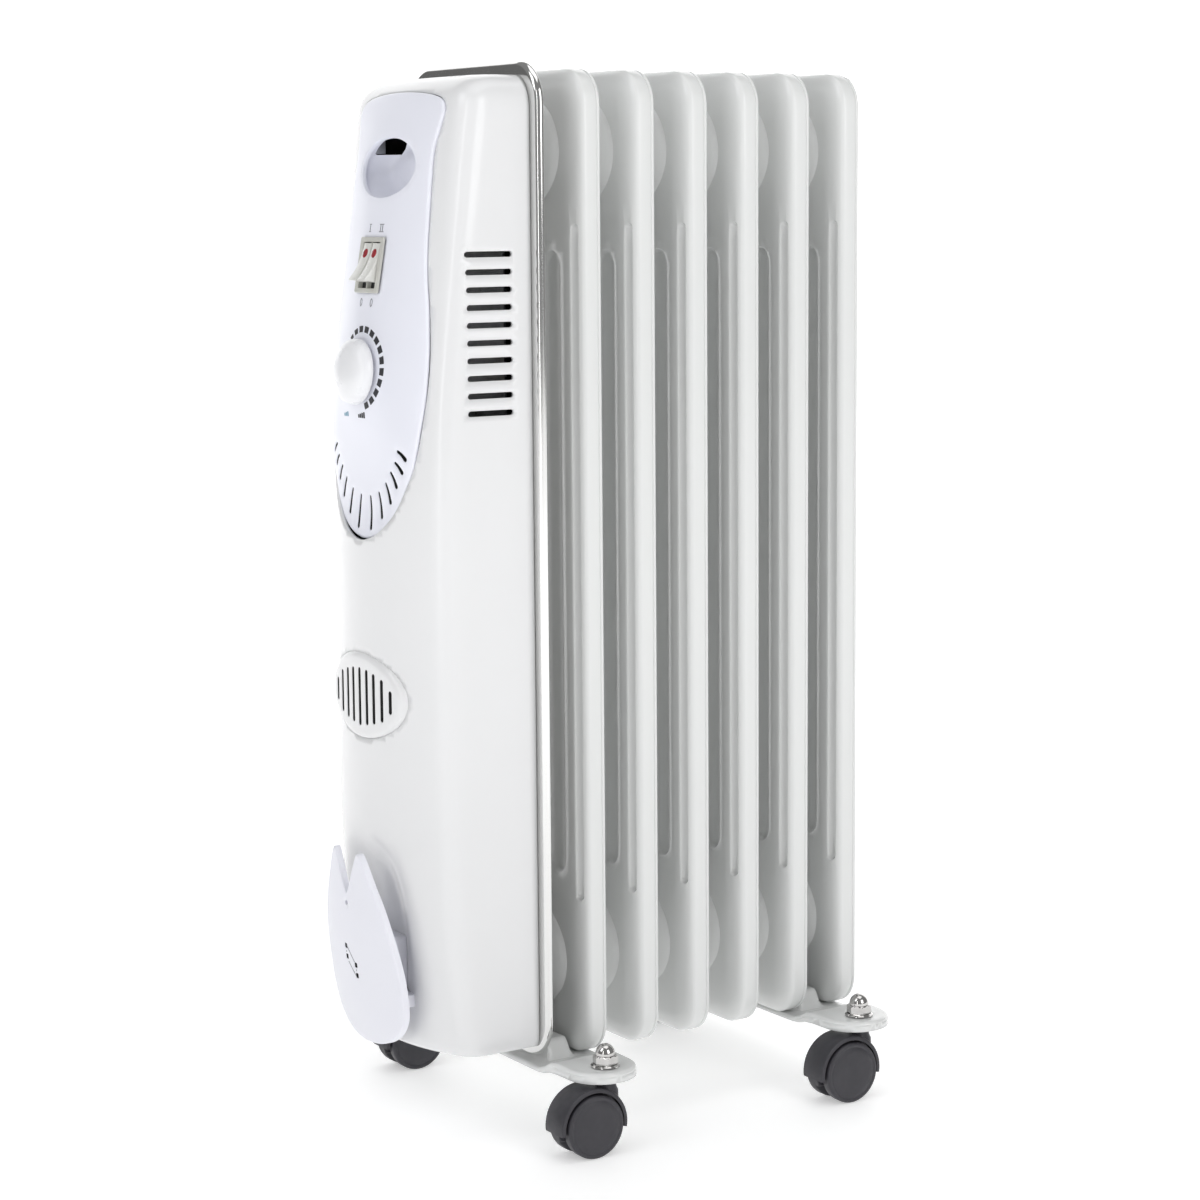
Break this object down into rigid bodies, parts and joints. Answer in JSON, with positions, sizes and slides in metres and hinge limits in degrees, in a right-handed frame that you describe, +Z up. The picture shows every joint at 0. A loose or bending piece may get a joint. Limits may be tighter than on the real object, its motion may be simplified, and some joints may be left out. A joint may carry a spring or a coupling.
{
  "type": "oil filled radiator heater",
  "caption": "Upright oil filled radiator: pressed steel fins, mirror end plate, white control housing with knob and rocker switches, cord wrap, and twin-wheel casters on foot plates.",
  "frame": {"origin": "middle of the bounding box in X and Y, floor level in Z", "axes": "+Z up; -Y is the control side, the fins stack towards +Y; +X is the right-hand side seen from the control side"},
  "size_m": [0.2382, 0.3202, 0.6232],
  "materials": {
    "enamel": "white enamel, glossy, on pressed steel",
    "mirror_steel": "mirror-polished steel sheet",
    "gloss_white": "high-gloss white moulding",
    "cool_white": "satin white moulding with a cool lilac cast",
    "light_grey": "light grey moulding",
    "brass": "turned brass",
    "amber": "amber phenolic moulding",
    "black_plastic": "black moulding",
    "zinc_steel": "zinc-plated steel",
    "chrome": "bright chromium plate",
    "charcoal": "charcoal nylon, satin"
  },
  "bodies": {
    "radiator": {"fin_1": "enamel", "fin_2": "enamel", "fin_3": "enamel", "fin_4": "enamel", "fin_5": "enamel", "fin_6": "enamel", "element_socket": "enamel", "collector_cap": "enamel", "mirror_end_plate": "mirror_steel", "control_housing": "gloss_white", "control_facia": "cool_white", "grip_scoop": "cool_white", "lower_grille": "gloss_white", "switch_body": "light_grey", "thermostat_body": "amber", "cord_wrap_plate": "gloss_white", "cord_wrap_bracket": "light_grey", "cord_bushing": "black_plastic", "heating_element": "zinc_steel", "element_flange": "brass", "heat_shield": "zinc_steel", "thermal_cutout": "black_plastic", "terminal_block": "light_grey", "foot_plate_front": "enamel", "u_bolt_front": "zinc_steel", "wing_nut_front_left": "zinc_steel", "wing_nut_front_right": "zinc_steel", "foot_plate_rear": "enamel", "u_bolt_rear": "zinc_steel", "wing_nut_rear_left": "zinc_steel", "wing_nut_rear_right": "zinc_steel", "dome_nut_front_left": "chrome", "caster_stem_front_left": "zinc_steel", "dome_nut_front_right": "chrome", "caster_stem_front_right": "zinc_steel", "dome_nut_rear_left": "chrome", "caster_stem_rear_left": "zinc_steel", "dome_nut_rear_right": "chrome", "caster_stem_rear_right": "zinc_steel"},
    "rocker_left": {"rocker_switch_left": "light_grey"},
    "rocker_right": {"rocker_switch_right": "light_grey"},
    "knob": {"thermostat_knob": "cool_white", "thermostat_shaft": "brass"},
    "caster_front_left": {"caster_hood_front_left": "charcoal", "caster_axle_front_left": "zinc_steel"},
    "wheel_front_left_l": {"caster_wheel_front_left_l": "charcoal"},
    "wheel_front_left_r": {"caster_wheel_front_left_r": "charcoal"},
    "caster_front_right": {"caster_hood_front_right": "charcoal", "caster_axle_front_right": "zinc_steel"},
    "wheel_front_right_l": {"caster_wheel_front_right_l": "charcoal"},
    "wheel_front_right_r": {"caster_wheel_front_right_r": "charcoal"},
    "caster_rear_left": {"caster_hood_rear_left": "charcoal", "caster_axle_rear_left": "zinc_steel"},
    "wheel_rear_left_l": {"caster_wheel_rear_left_l": "charcoal"},
    "wheel_rear_left_r": {"caster_wheel_rear_left_r": "charcoal"},
    "caster_rear_right": {"caster_hood_rear_right": "charcoal", "caster_axle_rear_right": "zinc_steel"},
    "wheel_rear_right_l": {"caster_wheel_rear_right_l": "charcoal"},
    "wheel_rear_right_r": {"caster_wheel_rear_right_r": "charcoal"}
  },
  "joints": [
    {"name": "rocker_left_tip", "type": "hinge", "parent": "radiator", "child": "rocker_left", "pos_m": [-0.00525, -0.13568, 0.51], "axis": [1, 0, 0], "range_deg": [0, 20]},
    {"name": "rocker_right_tip", "type": "hinge", "parent": "radiator", "child": "rocker_right", "pos_m": [0.00525, -0.13568, 0.51], "axis": [1, 0, 0], "range_deg": [0, 20]},
    {"name": "knob_turn", "type": "hinge", "parent": "radiator", "child": "knob", "pos_m": [0, -0.14432, 0.4505], "axis": [0, 0.9962, -0.0872], "range_deg": [0, 290]},
    {"name": "swivel_front_left", "type": "hinge", "parent": "radiator", "child": "caster_front_left", "pos_m": [-0.1043, -0.04848, 0.04], "axis": [0, 0, 1], "continuous": true},
    {"name": "roll_front_left_l", "type": "hinge", "parent": "caster_front_left", "child": "wheel_front_left_l", "pos_m": [-0.1124, -0.06168, 0.0186], "axis": [1, 0, 0], "continuous": true},
    {"name": "roll_front_left_r", "type": "hinge", "parent": "caster_front_left", "child": "wheel_front_left_r", "pos_m": [-0.0962, -0.06168, 0.0186], "axis": [1, 0, 0], "continuous": true},
    {"name": "swivel_front_right", "type": "hinge", "parent": "radiator", "child": "caster_front_right", "pos_m": [0.1043, -0.04848, 0.04], "axis": [0, 0, 1], "continuous": true},
    {"name": "roll_front_right_l", "type": "hinge", "parent": "caster_front_right", "child": "wheel_front_right_l", "pos_m": [0.0962, -0.06168, 0.0186], "axis": [1, 0, 0], "continuous": true},
    {"name": "roll_front_right_r", "type": "hinge", "parent": "caster_front_right", "child": "wheel_front_right_r", "pos_m": [0.1124, -0.06168, 0.0186], "axis": [1, 0, 0], "continuous": true},
    {"name": "swivel_rear_left", "type": "hinge", "parent": "radiator", "child": "caster_rear_left", "pos_m": [-0.1043, 0.13652, 0.04], "axis": [0, 0, 1], "continuous": true},
    {"name": "roll_rear_left_l", "type": "hinge", "parent": "caster_rear_left", "child": "wheel_rear_left_l", "pos_m": [-0.1124, 0.12332, 0.0186], "axis": [1, 0, 0], "continuous": true},
    {"name": "roll_rear_left_r", "type": "hinge", "parent": "caster_rear_left", "child": "wheel_rear_left_r", "pos_m": [-0.0962, 0.12332, 0.0186], "axis": [1, 0, 0], "continuous": true},
    {"name": "swivel_rear_right", "type": "hinge", "parent": "radiator", "child": "caster_rear_right", "pos_m": [0.1043, 0.13652, 0.04], "axis": [0, 0, 1], "continuous": true},
    {"name": "roll_rear_right_l", "type": "hinge", "parent": "caster_rear_right", "child": "wheel_rear_right_l", "pos_m": [0.0962, 0.12332, 0.0186], "axis": [1, 0, 0], "continuous": true},
    {"name": "roll_rear_right_r", "type": "hinge", "parent": "caster_rear_right", "child": "wheel_rear_right_r", "pos_m": [0.1124, 0.12332, 0.0186], "axis": [1, 0, 0], "continuous": true}
  ]
}
